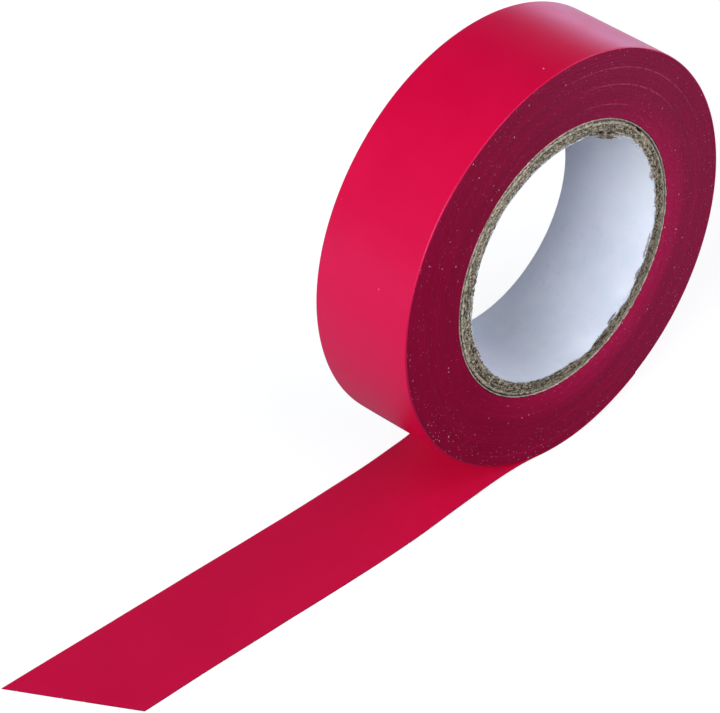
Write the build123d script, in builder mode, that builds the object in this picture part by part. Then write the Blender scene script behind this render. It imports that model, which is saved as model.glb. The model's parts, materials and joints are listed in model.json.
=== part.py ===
from build123d import *
from math import cos, pi, radians, sin, sqrt, tan
import os

# A roll of PVC insulating tape that stands on its rim, with its free end laid out on the table.
# Millimetres. The origin is the centre of the core's bore, +Y runs along the bore and +Z is up.
# The tape is wound with its sticky face inwards, so the free end, which leaves the bottom of
# the roll towards -X, lies with its sticky face up.

os.makedirs("parts", exist_ok=True)

# Tape
tape_width = 15.0
tape_length = 10000.0
tape_thickness = 0.13  # the film and its adhesive coat
winding_pitch = 0.133  # one turn to the next, with the little air that winding leaves

# Core: a paper tube wound from four plies, listed from the bore outwards
bore_radius = 16.25
core_plies = {
    "core_liner": 0.20,
    "core_inner_ply": 1.10,
    "core_outer_ply": 0.80,
    "core_wrap": 0.15,
}

# Free end: it is pinned flat under the roll, clings to it a little way up, peels off in a low
# hump and runs flat along the table to a slanting cut. Distances are from the roll's lowest line
pinned_length = 3.0
cling_angle = 9.0
lift_line = 22.0
curl_line = 50.0
tail_length = 76.4
cut_angle = 30.7
sideways_drift = 1.0  # how far the free end has wandered towards -Y
drift_end = 35.0  # where it stops wandering
running_clearance = 0.02

core_radius = bore_radius + sum(core_plies.values())
wound_radius = sqrt(core_radius**2 + tape_length * winding_pitch / pi)
sticky_radius = wound_radius + running_clearance
table_radius = sticky_radius + tape_thickness  # from the bore's axis down to the table
half_width = tape_width / 2
cut_lead = half_width * tan(radians(cut_angle))

# Core plies: plain tubes, each fitting face to face over the one before
ply_radius = bore_radius
for ply_name, ply_thickness in core_plies.items():
    with BuildPart() as core_ply:
        with BuildSketch(Plane.XZ):
            Circle(ply_radius + ply_thickness)
            Circle(ply_radius, mode=Mode.SUBTRACT)
        extrude(amount=half_width, both=True)
    core_ply.part.label = ply_name
    export_step(core_ply.part, f"parts/{ply_name}.step")
    ply_radius += ply_thickness

# The turns of tape, bonded to each other and to the core by the tape's own adhesive
with BuildPart() as wound_tape:
    with BuildSketch(Plane.XZ):
        Circle(wound_radius)
        Circle(core_radius, mode=Mode.SUBTRACT)
    extrude(amount=half_width, both=True)
wound_tape.part.label = "wound_tape"
export_step(wound_tape.part, "parts/wound_tape.step")

# Plan of the free end on the table, from under the roll to the slanting cut
with BuildSketch(Plane.XY.offset(-table_radius)) as tail_plan:
    with BuildLine():
        front_bend = Spline(
            (pinned_length, -half_width),
            (-drift_end, -half_width - sideways_drift),
            tangents=[(-1, 0), (-1, 0)],
        )
        back_bend = Spline(
            (pinned_length, half_width),
            (-drift_end, half_width - sideways_drift),
            tangents=[(-1, 0), (-1, 0)],
        )
        Polyline(
            front_bend @ 1,
            (-tail_length + cut_lead, -half_width - sideways_drift),
            (-tail_length - cut_lead, half_width - sideways_drift),
            back_bend @ 1,
        )
        Line(front_bend @ 0, back_bend @ 0)
    make_face()


def strip_face(radius):
    """Draws one face of the free end's first stretch, as seen from the front."""
    cling = radians(cling_angle)
    Line((pinned_length, -radius), (0, -radius))
    CenterArc((0, 0), radius, 270, -cling_angle)
    Spline(
        (-radius * sin(cling), -radius * cos(cling)),
        (-lift_line, -radius),
        tangents=[(-cos(cling), sin(cling)), (-1, 0)],
    )


# First stretch of the free end: pinned, clinging and peeling off, then down to the table
with BuildPart() as strip_start:
    with BuildSketch(Plane.XZ):
        with BuildLine():
            strip_face(sticky_radius)
            strip_face(table_radius)
            Line((pinned_length, -table_radius), (pinned_length, -sticky_radius))
            Line((-lift_line, -table_radius), (-lift_line, -sticky_radius))
        make_face()
    extrude(amount=tape_width, both=True)
    extrude(tail_plan.sketch, amount=tape_width, mode=Mode.INTERSECT)
strip_start.part.label = "strip_start"
export_step(strip_start.part, "parts/strip_start.step")

# Flat run of the free end, which lifts from the table along its first line
with BuildPart() as tail_near:
    with BuildSketch(Plane.XY.offset(-table_radius)):
        with Locations((-(lift_line + curl_line) / 2, 0)):
            Rectangle(curl_line - lift_line, 2 * tape_width)
        add(tail_plan.sketch, mode=Mode.INTERSECT)
    extrude(amount=tape_thickness)
tail_near.part.label = "tail_near"
export_step(tail_near.part, "parts/tail_near.step")

# Cut end of the tape, which curls up further than the run before it
with BuildPart() as tail_tip:
    with BuildSketch(Plane.XY.offset(-table_radius)):
        with Locations((-curl_line - tape_width * 2, 0)):
            Rectangle(4 * tape_width, 2 * tape_width)
        add(tail_plan.sketch, mode=Mode.INTERSECT)
    extrude(amount=tape_thickness)
tail_tip.part.label = "tail_tip"
export_step(tail_tip.part, "parts/tail_tip.step")
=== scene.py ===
import json
from math import cos, radians, sin, tan

import bpy
import numpy as np
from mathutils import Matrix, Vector, noise


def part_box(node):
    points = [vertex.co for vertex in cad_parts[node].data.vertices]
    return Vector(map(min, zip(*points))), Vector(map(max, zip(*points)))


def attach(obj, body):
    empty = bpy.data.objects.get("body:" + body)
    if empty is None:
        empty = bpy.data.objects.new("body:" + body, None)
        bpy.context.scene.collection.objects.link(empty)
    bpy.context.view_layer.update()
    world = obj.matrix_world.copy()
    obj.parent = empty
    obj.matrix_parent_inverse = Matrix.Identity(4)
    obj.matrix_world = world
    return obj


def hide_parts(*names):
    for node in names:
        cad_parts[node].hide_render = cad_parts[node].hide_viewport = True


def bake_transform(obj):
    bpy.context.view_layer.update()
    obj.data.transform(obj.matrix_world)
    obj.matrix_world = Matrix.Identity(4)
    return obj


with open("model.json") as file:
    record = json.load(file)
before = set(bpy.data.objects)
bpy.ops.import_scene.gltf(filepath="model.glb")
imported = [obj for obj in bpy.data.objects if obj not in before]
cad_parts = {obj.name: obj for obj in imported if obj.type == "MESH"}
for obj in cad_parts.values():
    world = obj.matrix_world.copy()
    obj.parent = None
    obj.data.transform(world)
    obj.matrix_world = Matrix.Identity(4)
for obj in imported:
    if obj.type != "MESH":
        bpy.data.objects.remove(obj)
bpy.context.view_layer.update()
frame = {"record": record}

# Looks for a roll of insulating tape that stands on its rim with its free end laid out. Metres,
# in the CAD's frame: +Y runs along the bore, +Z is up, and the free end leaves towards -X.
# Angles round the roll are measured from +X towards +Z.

MM = 0.001


# ---------------------------------------------------------------- sizes from the frame
def outer_radius(cad_node):
    """Outer radius of a CAD tube that lies round the Y axis."""
    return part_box(cad_node)[1].x


mounts = {mount["name"]: mount for mount in frame["record"]["mounts"]}
bore_radius = mounts["bore"]["dims"]["r_mm"] * MM
liner_radius = outer_radius("core_liner")
inner_ply_radius = outer_radius("core_inner_ply")
outer_ply_radius = outer_radius("core_outer_ply")
core_radius = outer_radius("core_wrap")
roll_radius = outer_radius("wound_tape")
half_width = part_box("wound_tape")[1].y

table_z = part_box("tail_near")[0].z
sticky_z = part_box("tail_near")[1].z
tape_thickness = sticky_z - table_z
lift_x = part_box("tail_near")[1].x
curl_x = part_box("tail_near")[0].x
tip_low, tip_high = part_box("tail_tip")
drift_y = tip_high.y - half_width
winding_pitch = 0.133 * MM


# ---------------------------------------------------------------- mesh helpers
def piece(name, points, faces, smooth_angle=40):
    """A new mesh object, smooth except across edges sharper than smooth_angle degrees."""
    mesh = bpy.data.meshes.new(name)
    mesh.from_pydata(np.asarray(points).tolist(), [], np.asarray(faces).tolist())
    mesh.update()
    mesh.shade_smooth()
    mesh.set_sharp_from_angle(angle=radians(smooth_angle))
    made = bpy.data.objects.new(name, mesh)
    bpy.context.scene.collection.objects.link(made)
    return made


def loop_faces(rings, steps):
    """Quads over a grid that closes in both directions, numbered ring by ring."""
    i, j = np.meshgrid(np.arange(rings), np.arange(steps), indexing="ij")
    after_i, after_j = (i + 1) % rings, (j + 1) % steps
    corners = (i * steps + j, after_i * steps + j, after_i * steps + after_j, i * steps + after_j)
    return np.stack(corners, axis=-1).reshape(-1, 4)


def around(steps):
    """Angles of evenly spaced steps round the roll."""
    return np.linspace(0, 2 * np.pi, steps, endpoint=False)


def lathe(name, radius, along, **options):
    """A closed tube round the Y axis. Each row of radius and along is one ring, and the rings go
    outwards over the front, back along the outside and inwards over the back."""
    rings, steps = np.broadcast_shapes(radius.shape, along.shape)
    radius = np.broadcast_to(radius, (rings, steps))
    along = np.broadcast_to(along, (rings, steps))
    turn = around(steps)
    points = np.stack([radius * np.cos(turn), along, radius * np.sin(turn)], axis=-1)
    return piece(name, points.reshape(-1, 3), loop_faces(rings, steps), **options)


def waves(turn, seed, counts):
    """A closed wavy line round the roll, about 1 high, from a few sine waves."""
    rng = np.random.default_rng(seed)
    parts = [rng.normal() * np.sin(n * turn + rng.uniform(0, 2 * np.pi)) for n in counts]
    return sum(parts) / len(counts) ** 0.5


def grain(points, lump, seed, octaves=3):
    """Fractal noise of about -1 to 1 at each point, in lumps of the given size."""
    shift = Vector((seed * 3.7, seed * 1.9, seed * 2.3))
    flat = np.asarray(points).reshape(-1, 3) / lump
    values = [noise.fractal(Vector(p) + shift, 0.7, 2.0, octaves) for p in flat.tolist()]
    return np.array(values).reshape(np.asarray(points).shape[:-1])


def ring_points(radius, along, turn):
    """Points of a grid of rings, as grain wants them."""
    radius, along, turn = np.broadcast_arrays(radius, along, turn)
    return np.stack([radius * np.cos(turn), along, radius * np.sin(turn)], axis=-1)


def ease(t):
    """0 to 1 with a soft start and end, and level outside that range."""
    t = np.clip(t, 0, 1)
    return t * t * (3 - 2 * t)


def bump_at(turn, middle, width):
    """1 at an angle in degrees, falling to 0 at width degrees to each side."""
    away = np.abs((np.degrees(turn) - middle + 180) % 360 - 180)
    return ease(1 - away / width)


# ---------------------------------------------------------------- material helpers
def node(tree, kind, inputs=(), **settings):
    """Adds a shader node; inputs are values, or sockets to link."""
    made = tree.nodes.new("ShaderNode" + kind)
    for key, value in settings.items():
        setattr(made, key, value)
    for key, value in dict(inputs).items():
        if isinstance(value, bpy.types.NodeSocket):
            tree.links.new(value, made.inputs[key])
        else:
            made.inputs[key].default_value = value
    return made


def start_material(name):
    """An empty material, its node tree, and a socket with the object's own coordinates."""
    made = bpy.data.materials.new(name)
    made.use_nodes = True
    made.node_tree.nodes.clear()
    place = node(made.node_tree, "TexCoord").outputs["Object"]
    return made, made.node_tree, place


def finish_material(tree, colour, roughness, height, depth, gloss, tint=(0.4, 0.5, 1.0)):
    """Principled surface with a bump from height, whose full range stands depth metres deep."""
    bump = node(tree, "Bump", {"Height": height, "Distance": depth, "Strength": 1.0})
    inputs = {"Base Color": colour, "Roughness": roughness, "Normal": bump.outputs["Normal"]}
    inputs.update({"IOR": 1.5, "Specular IOR Level": gloss, "Specular Tint": colour_of(tint)})
    surface = node(tree, "BsdfPrincipled", inputs)
    node(tree, "OutputMaterial", {"Surface": surface.outputs["BSDF"]})


def lumps(tree, place, size, detail=3.0, roughness=0.6, stretch=(1, 1, 1)):
    """Noise of 0 to 1 in lumps of the given size in metres, stretched along the axes."""
    shrunk = tuple(1 / along for along in stretch)
    scaled = node(tree, "VectorMath", {0: place, 1: shrunk}, operation="MULTIPLY")
    inputs = {"Vector": scaled.outputs[0], "Scale": 1 / size, "Detail": detail, "Roughness": roughness}
    return node(tree, "TexNoise", inputs).outputs["Fac"]


def specks(tree, place, spacing, size, share):
    """0 or 1: small round specks, one or none to each cell of the given spacing."""
    inputs = {"Vector": place, "Scale": 1 / spacing}
    cells = node(tree, "TexVoronoi", inputs, feature="F1")
    near = maths(tree, "LESS_THAN", cells.outputs["Distance"], size / spacing)
    pick = node(tree, "SeparateColor", {0: cells.outputs["Color"]}).outputs[0]
    chosen = maths(tree, "LESS_THAN", pick, share)
    return maths(tree, "MULTIPLY", near, chosen)


def maths(tree, operation, *values):
    """One Math node over sockets or numbers."""
    return node(tree, "Math", dict(enumerate(values)), operation=operation).outputs[0]


def between(tree, value, low, high, out_low=0.0, out_high=1.0):
    """value moved from the range low..high to out_low..out_high, and held there."""
    inputs = {"Value": value, "From Min": low, "From Max": high, "To Min": out_low, "To Max": out_high}
    return node(tree, "MapRange", inputs).outputs["Result"]


def mixed(tree, share, first, second):
    """Colour that goes from first to second as share goes from 0 to 1."""
    mix = tree.nodes.new("ShaderNodeMix")
    mix.data_type = "RGBA"
    factor = next(s for s in mix.inputs if s.type == "VALUE")
    colours = [s for s in mix.inputs if s.type == "RGBA"]
    for socket, value in zip((factor, *colours), (share, colour_of(first), colour_of(second))):
        if isinstance(value, bpy.types.NodeSocket):
            tree.links.new(value, socket)
        else:
            socket.default_value = value
    return next(s for s in mix.outputs if s.type == "RGBA")


def colour_of(value):
    """A colour with its alpha, or the socket as it is."""
    return value if isinstance(value, bpy.types.NodeSocket) else (*value[:3], 1.0)


def towards(tree, place, way, low, high):
    """0 to 1 as a point's distance along a direction goes from low to high."""
    along = node(tree, "VectorMath", {0: place, 1: way}, operation="DOT_PRODUCT").outputs["Value"]
    return between(tree, along, low, high)


def close_to(tree, value, middle, width):
    """1 where a value is at the middle, falling to 0 at width to each side."""
    away = maths(tree, "ABSOLUTE", maths(tree, "SUBTRACT", value, middle))
    return between(tree, away, 0.0, width, 1.0, 0.0)


def distance_from_axis(tree, place):
    """Radius of a point from the bore's axis, in metres."""
    flat = node(tree, "VectorMath", {0: place, 1: (1, 0, 1)}, operation="MULTIPLY").outputs[0]
    return node(tree, "VectorMath", {0: flat}, operation="LENGTH").outputs["Value"]


def round_noise(tree, place, size, stretch, detail=3.0, roughness=0.6):
    """Noise of 0 to 1 whose lumps are stretched round the bore's axis, most of all far from it."""
    flat = node(tree, "VectorMath", {0: place, 1: (1, 0, 1)}, operation="MULTIPLY").outputs[0]
    outwards = node(tree, "VectorMath", {0: flat}, operation="NORMALIZE").outputs[0]
    along = node(tree, "VectorMath", {0: place, 1: (0, 1 / size, 0)}, operation="MULTIPLY").outputs[0]
    turn = {0: outwards, 1: (core_radius / size / stretch,) * 3, 2: along}
    vector = node(tree, "VectorMath", turn, operation="MULTIPLY_ADD").outputs[0]
    radius = maths(tree, "DIVIDE", distance_from_axis(tree, place), size)
    inputs = {"Vector": vector, "W": radius, "Scale": 1.0, "Detail": detail, "Roughness": roughness}
    return node(tree, "TexNoise", inputs, noise_dimensions="4D").outputs["Fac"]


# ---------------------------------------------------------------- materials
CRIMSON = (0.76, 0.0026, 0.051)
CRIMSON_DEEP = (0.72, 0.0022, 0.048)
STICKY_CRIMSON = (0.66, 0.0058, 0.056)
STICKY_DEEP = (0.63, 0.0053, 0.053)
WOUND_RED = (0.36, 0.0034, 0.042)
WOUND_DARK = (0.30, 0.0024, 0.033)
# pale film-edge red, for the pale arcs and for the painted light on the first turns
WOUND_LIGHT = (0.54, 0.0055, 0.068)
DUST = (0.80, 0.62, 0.70)
# pink of a painted highlight along the crest of a proud turn
PROUD_HIGHLIGHT_PINK = (0.66, 0.10, 0.24)
HIGHLIT_PROUD_TURNS = (  # painted highlights on turns that stand a little proud, though the mesh is flat there: radius in mm, angle, and degrees to each side
    (25.1, 58, 36),
    (22.9, 58, 26),
    (20.3, 70, 14),
)


def film_material():
    """Outer face of the PVC film: satin, with drawing lines round the roll and a few specks. Its rims are
    darker towards the bottom, which is painted shade.
    """
    made, tree, place = start_material("pvc_film")
    drawn = lumps(tree, place, 0.35 * MM, 2.0, 0.5, stretch=(40, 1, 40))
    cloud = lumps(tree, place, 9 * MM, 3.0)
    skin = lumps(tree, place, 0.12 * MM, 2.0)
    colour = mixed(tree, between(tree, cloud, 0.3, 0.7), CRIMSON_DEEP, CRIMSON)
    dots = specks(tree, place, 2.7 * MM, 0.085 * MM, 0.20)
    colour = mixed(tree, maths(tree, "MULTIPLY", dots, 0.8), colour, DUST)
    edge = maths(tree, "ABSOLUTE", node(tree, "SeparateXYZ", {0: place}).outputs["Y"])
    edge = between(tree, edge, half_width - 0.14 * MM, half_width - 0.07 * MM)
    # painted shade: the film's rims are darkened towards the bottom, where less light falls
    low_rim_shade = maths(tree, "MULTIPLY", edge, towards(tree, place, (-0.3, 0, -0.95), -2 * MM, 14 * MM))
    colour = mixed(tree, maths(tree, "MULTIPLY", low_rim_shade, 0.8), colour, WOUND_DARK)
    rough = between(tree, cloud, 0.3, 0.7, 0.30, 0.38)
    height = maths(tree, "ADD", maths(tree, "MULTIPLY", drawn, 0.6), maths(tree, "MULTIPLY", skin, 0.4))
    finish_material(tree, colour, rough, height, 0.003 * MM, gloss=0.6, tint=(0.55, 0.40, 1.0))
    return made


def wound_material():
    """Side of the winding: film edges, darker than the film, in faint rings. The first turns are
    brighter on one side, which is painted light; a few turns carry a painted highlight where they
    stand a little proud, though the mesh is flat there; dust lies over them all, and a faint bluish
    tint lies in patches, mostly towards one side."""
    made, tree, place = start_material("wound_edges")
    rings = round_noise(tree, place, 0.45 * MM, 30, 4.0)
    cloud = lumps(tree, place, 5 * MM, 3.0)
    fleck = round_noise(tree, place, 0.14 * MM, 3)
    tone = maths(tree, "ADD", maths(tree, "MULTIPLY", rings, 0.4), maths(tree, "MULTIPLY", cloud, 0.3))
    tone = maths(tree, "ADD", tone, maths(tree, "MULTIPLY", fleck, 0.3))
    colour = mixed(tree, between(tree, tone, 0.38, 0.62), WOUND_DARK, WOUND_RED)
    radius = distance_from_axis(tree, place)
    first_turns = between(tree, radius, core_radius, core_radius + 4 * MM, 1.0, 0.0)
    # painted light: the first turns are lighter on the side the light falls on
    lit_side = towards(tree, place, (0.85, 0, -0.5), -8 * MM, 17 * MM)
    colour = mixed(tree, maths(tree, "MULTIPLY", first_turns, lit_side), colour, WOUND_LIGHT)
    # a faint bluish tint in patches, mostly towards one side
    blue_side = towards(tree, place, (0.9, 0, 0.3), -18 * MM, 16 * MM)
    patches = between(tree, lumps(tree, place, 0.30 * MM, 2.0, 0.8), 0.42, 0.68)
    blue_tint = maths(tree, "MULTIPLY", blue_side, between(tree, patches, 0, 1, 0.014, 0.044))
    colour = mixed(tree, blue_tint, colour, (0.45, 0.50, 1.0))
    arcs = between(tree, round_noise(tree, place, 0.22 * MM, 90, 2.0), 0.60, 0.74, 0.0, 0.45)
    colour = mixed(tree, arcs, colour, WOUND_LIGHT)
    broken = between(tree, lumps(tree, place, 0.6 * MM, 2.0), 0.35, 0.60, 0.1, 0.75)
    # painted highlight along a few turns that stand proud; the mesh is flat there
    for proud_radius, angle, reach in HIGHLIT_PROUD_TURNS:
        line = close_to(tree, radius, proud_radius * MM, 0.12 * MM)
        way = (cos(radians(angle)), 0, sin(radians(angle)))
        ends = [proud_radius * MM * cos(radians(away)) for away in (reach, 0.5 * reach)]
        line = maths(tree, "MULTIPLY", line, towards(tree, place, way, *ends))
        colour = mixed(tree, maths(tree, "MULTIPLY", line, broken), colour, PROUD_HIGHLIGHT_PINK)
    dusty = between(tree, lumps(tree, place, 8 * MM, 2.0), 0.38, 0.58, 0.45, 1.0)
    fine = specks(tree, place, 0.45 * MM, 0.07 * MM, 0.50)
    near_rim = between(tree, radius, roll_radius - 2.8 * MM, roll_radius - 1.2 * MM, 0.20, 0.38)
    coarse = specks(tree, place, 1.2 * MM, 0.095 * MM, 0.38)
    fine, coarse = maths(tree, "MULTIPLY", fine, near_rim), maths(tree, "MULTIPLY", coarse, 0.8)
    low_rim = towards(tree, place, (-0.78, 0, -0.63), 24.0 * MM, 27.5 * MM)
    scuffed = maths(tree, "MULTIPLY", specks(tree, place, 0.34 * MM, 0.065 * MM, 0.34), low_rim)
    dust = maths(tree, "MAXIMUM", maths(tree, "MAXIMUM", fine, coarse), scuffed)
    colour = mixed(tree, maths(tree, "MULTIPLY", dust, dusty), colour, DUST)
    height = maths(tree, "ADD", maths(tree, "MULTIPLY", rings, 0.6), maths(tree, "MULTIPLY", fleck, 0.4))
    finish_material(tree, colour, 0.6, height, 0.006 * MM, gloss=0.12)
    return made


def sticky_material():
    """Adhesive face of the free end: a clear coat over the film, slightly uneven."""
    made, tree, place = start_material("adhesive_face")
    cloud = lumps(tree, place, 12 * MM, 2.0)
    streaks = lumps(tree, place, 0.6 * MM, 2.0, 0.5, stretch=(30, 1, 1))
    skin = lumps(tree, place, 0.18 * MM, 2.0)
    tone = maths(tree, "ADD", maths(tree, "MULTIPLY", cloud, 0.7), maths(tree, "MULTIPLY", streaks, 0.3))
    colour = mixed(tree, between(tree, tone, 0.35, 0.65), STICKY_DEEP, STICKY_CRIMSON)
    dots = specks(tree, place, 5 * MM, 0.06 * MM, 0.10)
    colour = mixed(tree, dots, colour, DUST)
    rough = between(tree, tone, 0.35, 0.65, 0.42, 0.55)
    height = maths(tree, "ADD", maths(tree, "MULTIPLY", streaks, 0.5), maths(tree, "MULTIPLY", skin, 0.5))
    finish_material(tree, colour, rough, height, 0.004 * MM, gloss=0.05)
    return made


def board_material(name, stain=(0, 0, 0), share=0.0):
    """Recycled grey-brown board: fibres and flecks from near black to cream, laid round the core,
    with a pale cut edge and a dark gap where two plies meet, and the pits of the ends darkened by
    painted shade with some dirt. It is darker towards the bottom and lighter towards the top, which
    is painted shade and painted light. A share of a stain can tint it all."""
    made, tree, place = start_material(name)
    coarse = round_noise(tree, place, 0.34 * MM, 2.0, 3.0, 0.85)
    fine = round_noise(tree, place, 0.15 * MM, 1.8, 2.0, 0.7)
    tint = round_noise(tree, place, 0.45 * MM, 2.0, 2.0)
    layers = round_noise(tree, place, 0.20 * MM, 40, 1.0)
    tone = maths(tree, "ADD", maths(tree, "MULTIPLY", coarse, 0.45), maths(tree, "MULTIPLY", fine, 0.35))
    tone = maths(tree, "ADD", tone, maths(tree, "MULTIPLY", layers, 0.20))
    dark = mixed(tree, between(tree, tint, 0.44, 0.56), (0.062, 0.044, 0.031), (0.048, 0.044, 0.027))
    light = mixed(tree, between(tree, tint, 0.42, 0.58), (0.75, 0.58, 0.43), (0.58, 0.53, 0.37))
    colour = mixed(tree, between(tree, tone, 0.455, 0.550), dark, light)
    radius = distance_from_axis(tree, place)
    pale_edge = close_to(tree, radius, core_radius - 0.62 * MM, 0.16 * MM)
    colour = mixed(tree, maths(tree, "MULTIPLY", pale_edge, 0.75), colour, (0.80, 0.68, 0.50))
    dark_gap = close_to(tree, radius, core_radius - 0.33 * MM, 0.12 * MM)
    colour = mixed(tree, maths(tree, "MULTIPLY", dark_gap, 0.65), colour, (0.040, 0.030, 0.022))
    pale = specks(tree, place, 0.45 * MM, 0.090 * MM, 0.32)
    black = specks(tree, place, 0.50 * MM, 0.100 * MM, 0.30)
    colour = mixed(tree, maths(tree, "MULTIPLY", pale, 0.8), colour, (0.86, 0.77, 0.64))
    colour = mixed(tree, maths(tree, "MULTIPLY", black, 0.9), colour, (0.018, 0.014, 0.010))
    depth = maths(tree, "ABSOLUTE", node(tree, "SeparateXYZ", {0: place}).outputs["Y"])
    # painted shade, with some dirt: the deeper pits of the sawn ends are darker
    pit = between(tree, depth, half_width - 0.45 * MM, half_width - 0.15 * MM, 0.85, 0.0)
    colour = mixed(tree, pit, colour, (0.022, 0.016, 0.012))
    inner_edge = between(tree, radius, liner_radius - 0.20 * MM, liner_radius + 0.20 * MM, 0.65, 0.0)
    paper_side = maths(tree, "MULTIPLY", inner_edge, towards(tree, place, (0.98, 0, -0.2), 8 * MM, 14 * MM))
    colour = mixed(tree, paper_side, colour, (0.72, 0.66, 0.68))
    # painted shade: the board is darker towards the bottom
    shaded_low_side = towards(tree, place, (0.45, 0, -0.89), -4 * MM, 17 * MM)
    colour = mixed(tree, maths(tree, "MULTIPLY", shaded_low_side, 0.42), colour, (0.045, 0.036, 0.022))
    # painted light: the board is lighter towards the top, under the front light
    lit_high_side = towards(tree, place, (-0.35, 0, 0.94), 2 * MM, 17 * MM)
    colour = mixed(tree, maths(tree, "MULTIPLY", lit_high_side, 0.12), colour, (0.75, 0.66, 0.52))
    colour = mixed(tree, share, colour, stain)
    finish_material(tree, colour, 0.92, tone, 0.14 * MM, gloss=0.1)
    return made


def kraft_material():
    """Thin cream paper round the outside of the core."""
    made, tree, place = start_material("cream_wrap")
    fibre = round_noise(tree, place, 0.12 * MM, 3.0, 3.0, 0.7)
    cloud = lumps(tree, place, 1.5 * MM, 2.0)
    colour = mixed(tree, between(tree, fibre, 0.38, 0.62), (0.36, 0.27, 0.21), (0.86, 0.72, 0.60))
    colour = mixed(tree, between(tree, cloud, 0.5, 0.7, 0.0, 0.6), colour, (0.26, 0.20, 0.15))
    finish_material(tree, colour, 0.9, fibre, 0.04 * MM, gloss=0.1)
    return made


def liner_material():
    """Cool white paper in the bore, smooth, with faint smudges and fibres. It is darker towards the bottom
    and lighter on one side, which is painted shade and painted light.
    """
    made, tree, place = start_material("white_liner")
    cloud = lumps(tree, place, 3.0 * MM, 3.0)
    smudge = lumps(tree, place, 1.1 * MM, 4.0, 0.7)
    fibre = lumps(tree, place, 0.14 * MM, 3.0, 0.7, stretch=(1, 3, 1))
    hue = lumps(tree, place, 4.5 * MM, 2.0)
    cool = mixed(tree, between(tree, hue, 0.40, 0.60), (0.77, 0.83, 0.89), (0.82, 0.82, 0.92))
    colour = mixed(tree, between(tree, cloud, 0.35, 0.65), cool, (0.86, 0.87, 0.93))
    colour = mixed(tree, between(tree, smudge, 0.58, 0.76, 0.0, 0.32), colour, (0.50, 0.52, 0.62))
    # painted shade: the bore's paper is darker towards the bottom
    shaded_low_side = towards(tree, place, (0.5, 0, -0.87), 4 * MM, 16 * MM)
    colour = mixed(tree, maths(tree, "MULTIPLY", shaded_low_side, 0.30), colour, (0.50, 0.52, 0.60))
    # painted light: the bore's paper is lighter on the side the light falls on
    lit_high_side = towards(tree, place, (0.9, 0, 0.43), 9 * MM, 16 * MM)
    colour = mixed(tree, maths(tree, "MULTIPLY", lit_high_side, 0.6), colour, (0.95, 0.97, 1.0))
    dots = specks(tree, place, 2.2 * MM, 0.09 * MM, 0.20)
    colour = mixed(tree, maths(tree, "MULTIPLY", dots, 0.6), colour, (0.30, 0.28, 0.30))
    finish_material(tree, colour, 0.62, fibre, 0.012 * MM, gloss=0.25, tint=(1, 1, 1))
    return made


# ---------------------------------------------------------------- the winding
CORE_RECESS = 0.10 * MM


def telescoped(radius):
    """How far the turns at a radius have slid along the core, most of all the first ones."""
    return CORE_RECESS * (1 - ease((radius - core_radius) / (4 * MM)))


def wound_turns():
    """All turns but the outermost: each film edge is a flat crest between two fine grooves, and
    wanders a little sideways as the winding machine laid it."""
    steps = 360
    turn = around(steps)
    last_radius = roll_radius - tape_thickness
    count = round((last_radius - core_radius) / winding_pitch)
    pitch = (last_radius - core_radius) / count
    groove = 0.010 * MM
    rng = np.random.default_rng(11)
    strays = rng.normal(0, 0.004 * MM, count)
    bands = np.repeat(rng.normal(0, 0.006 * MM, count // 5 + 1), 5)[:count]
    radius, front, back = [], [], []
    for k in range(count):
        slide = telescoped(core_radius + k * pitch)
        wander = waves(turn, 40 + k // 6, (1, 2, 3, 5)) * 0.010 * MM
        middle = slide + strays[k] + bands[k] + wander
        for share, depth in ((0.0, groove), (0.16, 0.0), (0.84, 0.0)):
            radius.append(np.full(steps, core_radius + (k + share) * pitch))
            front.append(middle - half_width + depth)
            back.append(middle + half_width - depth)
    radius.append(np.full(steps, last_radius))
    front.append(np.full(steps, groove - half_width))
    back.append(np.full(steps, half_width - groove))
    rows = np.array(radius + radius[::-1])
    return lathe("wound_turns", rows, np.array(front + back[::-1]))


def outer_turn():
    """Outermost turn of film: faintly wavy, dipping towards its edges, with rounded rims."""
    steps, across, rim = 480, 44, 0.16 * MM
    turn = around(steps)
    inner = roll_radius - 1.6 * tape_thickness
    corner = np.radians(np.linspace(0, 90, 7))
    front_rim = [(roll_radius - rim * (1 - sin(a)), -half_width + rim * (1 - cos(a))) for a in corner]
    flat = [(roll_radius, y) for y in np.linspace(-half_width + 2 * rim, half_width - 2 * rim, across)]
    back_rim = [(r, -y) for r, y in reversed(front_rim)]
    profile = [(inner, -half_width), *front_rim, *flat, *back_rim, (inner, half_width)]
    radius, along = (np.array(values)[:, None] for values in zip(*profile))
    outside = ease((radius - inner) / tape_thickness * 2 - 1)
    side = np.abs(along) / half_width
    crown = -0.025 * MM * side**6
    places = ring_points(radius, along, turn)
    gaps = grain(places * (1, 0.6, 1), 9 * MM, 5, 2) * 0.012 * MM
    ridges = grain(places * (0.15, 1, 0.15), 1.6 * MM, 6, 2) * 0.002 * MM
    out_of_true = waves(turn, 7, (2, 3, 4, 6)) * 0.02 * MM
    edge = waves(turn, 8, (1, 2, 4, 7, 11)) * 0.01 * MM
    radius = radius + outside * (crown + gaps + ridges + out_of_true)
    return lathe("outer_turn", radius, along + edge * np.sign(along), smooth_angle=60)


# ---------------------------------------------------------------- the core
FLAP = 65  # angle of the torn flap at the bore's front edge
HOLE = 44  # angle of the hole where the outer ply has come away from the tape
RAGGED = 0.13 * MM  # size of the small tears along that edge
FRONT_TEARS = (  # angle, degrees to each side, and how far the bore's front edge reaches inwards
    (17, 4, 0.34),
    (43, 17, -0.32),
    (65, 8, 0.55),
    (78, 5, -0.20),
    (105, 14, 0.08),
    (131, 12, -0.12),
    (170, 26, 0.24),
    (204, 8, 0.20),
    (286, 12, -0.50),
    (305, 5, 0.28),
    (316, 6, -0.30),
    (327, 4, 0.30),
    (341, 9, 0.25),
    (355, 8, -0.15),
)


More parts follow.
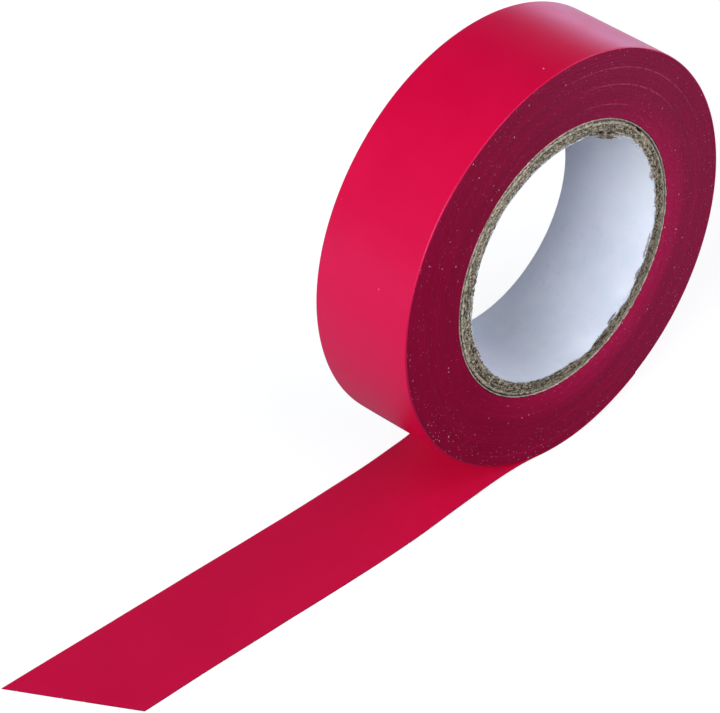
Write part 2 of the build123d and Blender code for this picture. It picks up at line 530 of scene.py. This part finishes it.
def front_tears(turn):
    """Inward reach of the bore's torn front edge, round the roll."""
    return sum(reach * MM * bump_at(turn, middle, width) for middle, width, reach in FRONT_TEARS)


def torn_side(turn):
    """1 where the saw tore the bore's front edge, and near 0 where it cut it clean."""
    clean = bump_at(turn, 140, 95) + bump_at(turn, 240, 60)
    return 1 - 0.8 * np.clip(2 * clean, 0, 1)


def sawn_ply(name, inner, outer, seed, rows, rough, sink, lip=0.0, steps=900):
    """A tube of board whose two ends are sawn rough. The ends sink by the two depths of sink
    towards the inner and the outer corner, and a torn lip reaches inwards over the front of the
    liner, or is pressed outwards with it."""
    turn = around(steps)
    share = np.linspace(0, 1, rows)[:, None]
    pressed = -np.minimum(front_tears(turn), 0) if lip else np.zeros(steps)
    ends = []
    for side in (-1, 1):
        edge = np.full(steps, inner)
        if lip and side < 0:
            ragged = grain(ring_points(inner, -half_width, turn), 0.7 * MM, seed, 4) * RAGGED
            edge = inner - lip - ragged * torn_side(turn) - front_tears(turn)
        face_radius = edge + (outer - edge) * share
        places = ring_points(face_radius, side * half_width, turn)
        lumpy = grain(places, 0.36 * MM, seed + side, 4) * rough
        pits = np.minimum(grain(places, 0.7 * MM, seed + side + 9, 3) + 0.2, 0) * rough * 2.5
        corners = (1 - ease(share / 0.16)) * sink[0] + (1 - ease((1 - share) / 0.35)) * sink[1]
        along = half_width + side * CORE_RECESS * 0.8 + lumpy + pits - corners
        if side < 0:
            along = along - accidents(name, turn, share)
        ends.append((face_radius, side * along))
    (front_radius, front_along), (back_radius, back_along) = ends
    inside = np.full((1, steps), inner)
    outside = np.full((1, steps), outer)
    overhang = (0.30 + 0.9 * bump_at(turn, FLAP, 12)) * MM
    press_depth = 3 * MM
    rings = [front_radius, outside, outside, back_radius[::-1], inside, inside + pressed, front_radius[:1]]
    middle = 0.9 * half_width
    depths = [front_along, -middle, middle, back_along[::-1], press_depth - half_width]
    depths += [overhang - half_width, overhang - half_width]
    depths = [np.broadcast_to(d, (len(r), steps)) for d, r in zip(depths, rings)]
    return lathe(name, np.concatenate(rings), np.concatenate(depths), smooth_angle=70)


def accidents(name, turn, share):
    """Depth of the front end's hollows: two behind the flap, and one hole beside the tape."""
    if name == "board_inner":
        behind_flap = bump_at(turn, FLAP - 3, 4) + bump_at(turn, FLAP + 3, 3)
        return 0.75 * MM * behind_flap * ease((share - 0.20) / 0.08) * (1 - ease((share - 0.38) / 0.12))
    if name == "board_outer":
        return 0.8 * MM * bump_at(turn, HOLE, 2.8) * ease((share - 0.35) / 0.25)
    return 0.0


def white_liner():
    """Paper liner: its ends are torn a little short of the board, and the helical seam where its
    edges overlap shows as a low step inside the bore."""
    steps, rows, tear = 900, 25, 0.12 * MM
    turn = around(steps)
    heights = np.linspace(-1, 1, rows)[:, None]
    ends = [ring_points(bore_radius, side * half_width, turn) for side in (-1, 1)]
    bared, tears = (0.12 * MM, -0.04 * MM), (tear * torn_side(turn), 0.1 * tear)
    torn = [np.clip(grain(end, 1.1 * MM, 60, 4), -1, 1) for end in ends]
    short = [bare + deep * ragged for bare, deep, ragged in zip(bared, tears, torn)]
    short[0] = short[0] + 1.2 * MM * bump_at(turn, FLAP, 14)
    along = (heights + 1) / 2 * (half_width - short[1]) - (1 - heights) / 2 * (half_width - short[0])
    seam = radians(135) + heights * radians(54)
    past_seam = (turn - seam) % (2 * np.pi) * bore_radius
    step = 0.05 * MM * (1 - ease(past_seam / (7 * MM))) * ease(past_seam / (0.12 * MM))
    wavy = grain(ring_points(bore_radius, along, turn) * (1, 0.7, 1), 5 * MM, 63, 2) * 0.012 * MM
    pressed = -np.minimum(front_tears(turn), 0) * ease(1 - (along + half_width) / (2.5 * MM))
    inside = bore_radius - step + wavy + pressed
    outside = liner_radius + pressed
    rings = np.concatenate([inside[::-1], outside])
    return lathe("white_liner", rings, np.concatenate([along[::-1], along]), smooth_angle=60)


def sliver(start, direction, sideways, length, width, seed, droop=0.1):
    """One torn fibre: a three-sided spike that bends as it goes. Returns its points and faces."""
    rng = np.random.default_rng(seed)
    direction, sideways, start = (np.array(v, float) for v in (direction, sideways, start))
    across = np.cross(direction, sideways)
    points, count = [], 5
    sway = rng.normal(0, 0.25, 2)
    for i in range(count):
        t = i / (count - 1)
        bend = sideways * (sway[0] * t * t * length) + across * ((sway[1] + droop) * t * t * length)
        middle = start + direction * t * length + bend
        size = width * (1 - 0.85 * t)
        for k in range(3):
            angle = 2 * np.pi * k / 3 + seed
            points.append(middle + size * (cos(angle) * sideways + 0.45 * sin(angle) * across))
    faces = [
        (i * 3 + k, i * 3 + (k + 1) % 3, (i + 1) * 3 + (k + 1) % 3, (i + 1) * 3 + k)
        for i in range(count - 1)
        for k in range(3)
    ]
    return points, faces


def fibre_tuft(name, seed, front_count, back_count, angles, length, width):
    """Fibres and flakes that the saw left along the bore's two edges, within a range of angles."""
    rng = np.random.default_rng(seed)
    points, faces, ends = [], [], []
    for side in [-1] * front_count + [1] * back_count:
        angle = radians(rng.uniform(*angles))
        outward = np.array([cos(angle), 0, sin(angle)])
        round_it = np.array([-sin(angle), 0, cos(angle)])
        direction = round_it * rng.normal(0, 0.9) - outward
        direction = direction + np.array([0, side * rng.normal(0.05, 0.25), 0])
        direction /= np.linalg.norm(direction)
        sideways = np.cross(direction, [0, 1, 0])
        sideways /= np.linalg.norm(sideways)
        depth = half_width - rng.uniform(0.08, 0.30) * MM
        root = liner_radius - 0.12 * MM + rng.uniform(0, 0.12) * MM
        start = outward * root + np.array([0, side * depth, 0])
        size = (rng.uniform(*length), rng.uniform(*width))
        made, quads = sliver(start, direction, sideways, *size, seed=int(rng.integers(1e6)))
        base = len(points)
        points += made
        faces += [tuple(base + i for i in quad) for quad in quads]
        ends += [(base + 2, base + 1, base), (base + 12, base + 13, base + 14)]
    return triangles_too(name, points, faces, ends)


def triangles_too(name, points, quads, triangles):
    """A piece with both quads and triangles."""
    mesh = bpy.data.meshes.new(name)
    mesh.from_pydata([tuple(p) for p in points], [], [*quads, *triangles])
    mesh.update()
    mesh.shade_smooth()
    made = bpy.data.objects.new(name, mesh)
    bpy.context.scene.collection.objects.link(made)
    return made


def torn_flap():
    """A scrap of board that hangs into the bore at its front edge, crumpled and ragged."""
    columns, rows, thickness = 46, 16, 0.08 * MM
    angles = np.radians(np.linspace(FLAP - 8, FLAP + 7, columns))[None, :]
    down = np.linspace(0, 1, rows)[:, None]
    rng = np.random.default_rng(5)
    ragged = 0.74 + 0.12 * np.sin(angles * 60 + 1) + 0.10 * rng.normal(0, 1, columns)
    reach = np.clip(ragged, 0.4, 1.0) * 0.55 * MM * np.sin(np.linspace(0.1, np.pi - 0.1, columns)) ** 0.5
    radius = liner_radius - 0.33 * MM - down * reach
    places = ring_points(radius, -half_width, angles)
    curl = 0.25 * MM * down**2 + grain(places, 0.4 * MM, 31, 4) * 0.14 * MM * (0.4 + down)
    along = -half_width + 0.02 * MM + curl
    faces_of = [ring_points(radius, along + lift, angles).reshape(-1, 3) for lift in (0.0, thickness)]
    return slab("torn_flap", faces_of[0], faces_of[1], rows, columns)


def slab(name, lower, upper, rows, columns, smooth_angle=50):
    """A closed thin sheet from two grids of points, row by row."""
    index = np.arange(rows * columns).reshape(rows, columns)
    far = index + rows * columns
    skin = np.stack([index[:-1, :-1], index[:-1, 1:], index[1:, 1:], index[1:, :-1]], -1).reshape(-1, 4)
    border = np.concatenate([index[0, :-1], index[:-1, -1], index[-1, :0:-1], index[:0:-1, 0]])
    after = np.roll(border, -1)
    walls = np.stack([after, border, border + rows * columns, after + rows * columns], -1)
    back = np.stack([far[:-1, :-1], far[1:, :-1], far[1:, 1:], far[:-1, 1:]], -1).reshape(-1, 4)
    return piece(name, np.concatenate([lower, upper]), np.concatenate([skin, back, walls]), smooth_angle)


# ---------------------------------------------------------------- the free end
CUT_ANGLE = 30.7  # degrees that the cut end slants from square
CLING = 9.0  # degrees up the roll at which the tape peels off
HUMP_END = -28 * MM  # the hump beside the roll has come down to the table here
RUN_OUT = 30.0  # degrees up the far side over which the strip becomes the outermost turn
SPLIT_X = (lift_x + curl_x) / 2  # the free end is two pieces that meet here


def under_roll(angle):
    """Sticky-face point and the direction from the table face to it, at an angle from the lowest
    line towards the free end."""
    place = np.array([-sin(angle), -cos(angle)])
    return place * -sticky_z, -place


def hump(t):
    """Sticky-face point and normal as the strip comes down from the peel line to the table."""
    cling = radians(CLING)
    start = np.array([-sin(cling), -cos(cling)]) * -sticky_z
    end = np.array([HUMP_END, sticky_z])
    reach = np.linalg.norm(end - start)
    start_way = np.array([-cos(cling), sin(cling) * 0.86]) * reach
    end_way = np.array([-1, 0]) * reach
    blend = np.array([2 * t**3 - 3 * t**2 + 1, t**3 - 2 * t**2 + t, 3 * t**2 - 2 * t**3, t**3 - t**2])
    slope = np.array([6 * t**2 - 6 * t, 3 * t**2 - 4 * t + 1, 6 * t - 6 * t**2, 3 * t**2 - 2 * t])
    place = blend[0] * start + blend[1] * start_way + blend[2] * end + blend[3] * end_way
    way = slope[0] * start + slope[1] * start_way + slope[2] * end + slope[3] * end_way
    way /= np.linalg.norm(way)
    return place, np.array([way[1], -way[0]])


def strip_line():
    """Side view of the free end: rows of sticky-face x and z, normal x and z, and thickness."""
    rows = []
    for angle in np.radians(np.linspace(-RUN_OUT, CLING, 60)):
        place, normal = under_roll(angle)
        swell = ease(1 + angle / radians(RUN_OUT)) if angle < 0 else 1.0
        rows.append((*place, *normal, tape_thickness * max(swell, 0.04)))
    for t in np.linspace(0, 1, 60)[1:]:
        place, normal = hump(t)
        rows.append((*place, *normal, tape_thickness))
    return np.array(rows)


def drift_at(x):
    """Sideways place of the strip's middle at a distance along the table."""
    start, stop = -3 * MM, -35 * MM
    return drift_y * ease((x - start) / (stop - start))


def drawn_in(x, across):
    """Sideways shift of the film's edges: pulling it off the roll has drawn its back edge in, most
    of all near the roll, and its front edge widens again at the corner of the cut."""
    necked = 0.37 * MM * ease((-x - 3 * MM) / (12 * MM))
    waist = 0.14 * MM * ease(1 - np.abs(x + 20 * MM) / (8 * MM))
    flared = 0.20 * MM * ease((-x - 60 * MM) / (12 * MM))
    return -((necked + waist) * (1 + across) + flared * (1 - across)) / 2


def tip_x(across):
    """Where the slanting cut ends the tape, for a share of the width from -1 to 1."""
    front_corner = tip_low.x + 2 * half_width * tan(radians(CUT_ANGLE))
    middle = (tip_low.x + front_corner) / 2
    return middle - across * (middle - tip_low.x)


def strip_piece(name, x_z_rows, across_count=41, cut=False):
    """A closed strip from a side view. Past the roll its back edge comes down to the table first,
    its front edge stays up a little longer, and the rest of the film ripples faintly."""
    x, z, normal_x, normal_z, thick = (x_z_rows[:, k][:, None] for k in range(5))
    across = np.linspace(-1, 1, across_count)[None, :]
    back_share, front_share = (1 + across) / 2, (1 - across) / 2
    lowered = 0.85 * ease((-x - 5 * MM) / (9 * MM)) * back_share
    lingering = 0.15 * MM * ease((x + 40 * MM) / (15 * MM)) * ease((-x - 14 * MM) / (8 * MM))
    z = z - (z - sticky_z) * lowered + lingering * front_share
    if cut:
        share = (x - x[0]) / (x[-1] - x[0])
        x = x[0] + share * (tip_x(across) - x[0])
    x = x + np.zeros_like(across)
    ripple = grain(np.stack([x, across * half_width + 0 * x, 0 * x], -1), 11 * MM, 71, 2)
    z = z + 0.05 * MM * np.clip(ripple + 0.35, 0, 1) * ease((lift_x - x) / (8 * MM))
    y = across * half_width + drift_at(x) + drawn_in(x, across)
    top = np.stack([x, y, z + 0 * x], -1)
    bottom = np.stack([x - normal_x * thick, y, z - normal_z * thick], -1)
    rows, columns = x.shape
    made = slab(name, bottom.reshape(-1, 3), top.reshape(-1, 3), rows, columns)
    face_count = (rows - 1) * (columns - 1)
    kinds = np.full(len(made.data.polygons), 2)
    kinds[:face_count] = 1
    kinds[face_count : 2 * face_count] = 0
    for material in (sticky, film, wound):
        made.data.materials.append(material)
    made.data.polygons.foreach_set("material_index", kinds)
    return made


def flat_rows(from_x, to_x, count):
    """Side view of a flat stretch on the table, without its first row."""
    return np.array([(x, sticky_z, 0.0, 1.0, tape_thickness) for x in np.linspace(from_x, to_x, count)])


# ---------------------------------------------------------------- build the pieces
def finish_piece(made, material, slot, body, *nodes):
    """Gives a piece its material, and lets it ride on a body in place of CAD nodes. Its slot is not used.
    """
    if material:
        made.data.materials.append(material)
    if body:
        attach(made, body)
    if nodes:
        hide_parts(*nodes)


film, wound, sticky = film_material(), wound_material(), sticky_material()
board = board_material("grey_board")
torn_board = board_material("torn_board", (0.11, 0.045, 0.022), 0.35)
torn_fibre = board_material("torn_fibre", (0.62, 0.46, 0.45), 0.45)
kraft, liner = kraft_material(), liner_material()

finish_piece(wound_turns(), wound, "tape_film", "roll", "wound_tape")
finish_piece(outer_turn(), film, "tape_film", "roll", "wound_tape")
finish_piece(white_liner(), liner, "liner_paper", "roll", "core_liner")
inner_board = sawn_ply(
    "board_inner",
    inner=liner_radius,
    outer=inner_ply_radius - 0.01 * MM,
    seed=3,
    rows=14,
    rough=0.12 * MM,
    sink=(0.06 * MM, 0.02 * MM),
    lip=0.6 * (liner_radius - bore_radius),
)
finish_piece(inner_board, board, "core_board", "roll", "core_inner_ply")
outer_board = sawn_ply(
    "board_outer",
    inner=inner_ply_radius + 0.01 * MM,
    outer=outer_ply_radius - 0.08 * MM,
    seed=4,
    rows=10,
    rough=0.11 * MM,
    sink=(0.02 * MM, 0.25 * MM),
)
finish_piece(outer_board, board, "core_board", "roll", "core_outer_ply")
wrap = sawn_ply(
    "cream_wrap",
    inner=outer_ply_radius - 0.06 * MM,
    outer=core_radius - 0.09 * MM,
    seed=6,
    rows=5,
    rough=0.08 * MM,
    sink=(0.02 * MM, 0.03 * MM),
)
finish_piece(wrap, kraft, "core_kraft", "roll", "core_wrap")
fibre_length, fibre_width = (0.12 * MM, 0.28 * MM), (0.03 * MM, 0.07 * MM)
fibres = fibre_tuft("torn_fibres", 23, 110, 0, (-70, 88), fibre_length, fibre_width)
finish_piece(fibres, torn_fibre, "core_board", "roll")
shreds = fibre_tuft("paper_shreds", 29, 14, 0, (54, 64), (0.3 * MM, 0.7 * MM), (0.05 * MM, 0.10 * MM))
finish_piece(shreds, liner, "liner_paper", "roll")
finish_piece(torn_flap(), torn_board, "core_board", "roll")

lead_rows = np.concatenate([strip_line(), flat_rows(HUMP_END, SPLIT_X, 20)[1:]])
strip_lead = strip_piece("strip_lead", lead_rows)
finish_piece(strip_lead, None, "tape_strip", None, "strip_start", "tail_near")
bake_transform(strip_lead)

strip_end = strip_piece("strip_end", flat_rows(SPLIT_X, tip_low.x, 80), cut=True)
finish_piece(strip_end, None, "tape_strip", None, "tail_near", "tail_tip")
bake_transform(strip_end)


# ---------------------------------------------------------------- floor, light and camera
TABLE_GLOW = 0.80  # how far the camera sees the table lit from below, near the roll
TABLE_SHINE = 0.80  # how bright the table is in reflections, away from the roll
NEAR_LILAC = (0.80, 0.53, 0.89)  # the table's tone in reflections, near the roll
FAR_WHITE = (0.78, 0.88, 1.15)  # and away from it
HORIZON_BLUE = (0.66, 0.78, 1.12)
SKY_MIRRORED = 0.7  # share of the studio's own light that reflections see


def pale_table():
    """A pale matt table. The camera sees it lit from below as well, like a light table. It throws
    little light back up at what stands on it. Reflections see it darker and more lilac near the
    roll."""
    made, tree, place = start_material("pale_table")
    cloud = lumps(tree, place, 0.2, 2.0)
    ray = node(tree, "LightPath").outputs
    seen = mixed(tree, cloud, (0.30, 0.30, 0.30), (0.33, 0.33, 0.33))
    colour = mixed(tree, ray["Is Camera Ray"], (0.05, 0.05, 0.05), seen)
    away = node(tree, "VectorMath", {0: place, 1: (0, 0, -table_z)}, operation="ADD").outputs[0]
    away = node(tree, "VectorMath", {0: away}, operation="LENGTH").outputs["Value"]
    # painted shade: the camera sees the table's glow dimmer near the roll
    glow = between(tree, away, 0.1, 0.7, TABLE_GLOW, 1.0)
    glow = maths(tree, "MULTIPLY", ray["Is Camera Ray"], glow)
    # painted shadow of the roll: reflections see the table darker near it
    nearness = between(tree, away, 10 * MM, 65 * MM, 0.12, 1.0)
    shine = maths(tree, "MULTIPLY", ray["Is Glossy Ray"], maths(tree, "MULTIPLY", nearness, TABLE_SHINE))
    shine = maths(tree, "MULTIPLY", shine, between(tree, away, 0.2, 0.7, 1.15, 0.9))
    tone = mixed(tree, between(tree, away, 85 * MM, 170 * MM), NEAR_LILAC, FAR_WHITE)
    tone = mixed(tree, ray["Is Camera Ray"], tone, (1, 1, 1))
    inputs = {"Base Color": colour, "Roughness": 0.9, "Specular IOR Level": 0.0}
    inputs.update({"Emission Color": tone, "Emission Strength": maths(tree, "ADD", glow, shine)})
    surface = node(tree, "BsdfPrincipled", inputs)
    node(tree, "OutputMaterial", {"Surface": surface.outputs["BSDF"]})
    return made


def make_floor():
    """A wide level plane at the height of the table."""
    size = 6.0
    corners = ((-1, -1), (1, -1), (1, 1), (-1, 1))
    floor = piece("floor", [(size * x, size * y, table_z) for x, y in corners], [(0, 1, 2, 3)])
    floor.data.materials.append(pale_table())


def area_light(name, azimuth, elevation, distance, size, watts, colour=(1.0, 1.05, 1.10)):
    """A soft light pointed at the roll. Azimuth is measured from +X towards +Y."""
    turn, up = radians(azimuth), radians(elevation)
    place = Vector((cos(turn) * cos(up), sin(turn) * cos(up), sin(up))) * distance
    data = bpy.data.lights.new(name, "AREA")
    data.shape = "RECTANGLE"
    data.size, data.size_y = size
    data.energy = watts
    data.color = colour
    made = bpy.data.objects.new(name, data)
    made.location = place
    made.rotation_euler = (-place).to_track_quat("-Z", "Y").to_euler()
    made.visible_camera = False
    bpy.context.scene.collection.objects.link(made)
    return made


def make_world(strength):
    """A cool white studio, bright round the horizon and fading to almost nothing overhead. Behind
    the table the camera sees plain white. Reflections see the studio a little dimmer than it is."""
    world = bpy.data.worlds.new("studio")
    world.use_nodes = True
    tree = world.node_tree
    way = node(tree, "TexCoord").outputs["Generated"]
    height = node(tree, "SeparateXYZ", {0: way}).outputs["Z"]
    fade = maths(tree, "POWER", between(tree, height, 0.0, 1.0, 1.0, 0.0), 2.5)
    ray = node(tree, "LightPath").outputs
    seen = ray["Is Camera Ray"]
    background = tree.nodes["Background"]
    tree.links.new(mixed(tree, seen, HORIZON_BLUE, (1, 1, 1)), background.inputs["Color"])
    mirrored = between(tree, ray["Is Glossy Ray"], 0.0, 1.0, 1.0, SKY_MIRRORED)
    power = maths(tree, "MULTIPLY", maths(tree, "MULTIPLY", fade, strength), mirrored)
    power = maths(tree, "MAXIMUM", power, seen)
    tree.links.new(power, background.inputs["Strength"])
    bpy.context.scene.world = world


def make_camera(azimuth, elevation, distance, aim, lens):
    """A long lens that looks at aim. Azimuth 0 looks along +Y."""
    turn, up = radians(azimuth), radians(elevation)
    back = Vector((sin(turn) * cos(up), -cos(turn) * cos(up), sin(up)))
    data = bpy.data.cameras.new("camera")
    data.lens = lens
    data.sensor_width = 36
    made = bpy.data.objects.new("camera", data)
    made.location = Vector(aim) + back * distance
    made.rotation_euler = (-back).to_track_quat("-Z", "Y").to_euler()
    bpy.context.scene.collection.objects.link(made)
    bpy.context.scene.camera = made


make_floor()
make_world(strength=0.53)
area_light("key", azimuth=195, elevation=24, distance=1.5, size=(0.8, 0.8), watts=19.4)
area_light("front", azimuth=270, elevation=46, distance=1.5, size=(1.2, 1.2), watts=8.5)
area_light("right", azimuth=-10, elevation=25, distance=1.5, size=(1.2, 1.2), watts=9.3)
lilac = (1.00, 0.88, 1.30)
area_light("low_strip", azimuth=36, elevation=4, distance=0.5, size=(0.6, 0.12), watts=0.36, colour=lilac)
back_light = area_light("back", azimuth=92, elevation=3, distance=1.5, size=(1.2, 1.2), watts=4.5)
back_light.visible_glossy = False  # it brightens the back and puts no highlight on the film
aim = (-19.85 * MM, 7.79 * MM, -12.03 * MM)
make_camera(azimuth=-45.3, elevation=35.6, distance=0.611, aim=aim, lens=250.7)
bpy.context.scene.view_settings.view_transform = "Standard"
